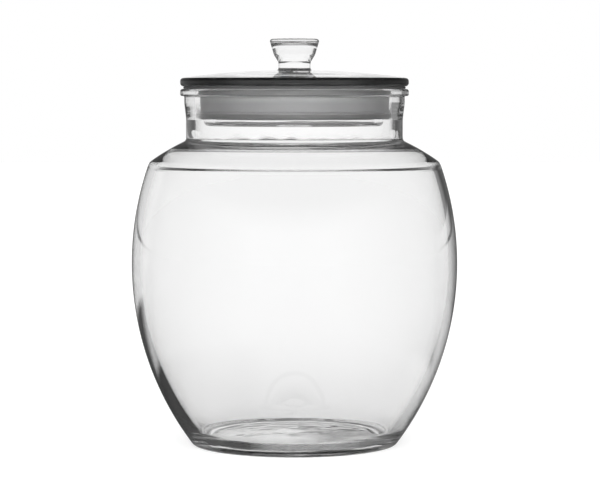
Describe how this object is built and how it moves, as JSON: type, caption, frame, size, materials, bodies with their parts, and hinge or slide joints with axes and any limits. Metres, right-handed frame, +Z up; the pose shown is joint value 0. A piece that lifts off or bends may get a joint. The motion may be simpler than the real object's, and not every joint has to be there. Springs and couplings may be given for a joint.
{
  "type": "glass storage jar",
  "caption": "Barrel-shaped clear glass storage jar with a straight neck and a push-in glass lid that has a knob and a finned grey silicone seal, for keeping dry food.",
  "frame": {"origin": "middle of the foot ring, on the plane that the jar stands on", "axes": "+Z up along the jar's axis; every piece is round about Z, and -Y is the side that faces the picture's camera"},
  "size_m": [0.196, 0.196, 0.2451],
  "materials": {
    "jar_glass": "clear polished",
    "lid_glass": "clear polished",
    "silicone": "satin"
  },
  "bodies": {
    "jar": {"glass_jar": "jar_glass"},
    "lid": {"glass_lid": "lid_glass", "seal": "silicone"}
  },
  "joints": [
    {"name": "lid_lift", "type": "slide", "parent": "jar", "child": "lid", "axis": [0, 0, 1], "range_m": [0, 0.06]}
  ]
}
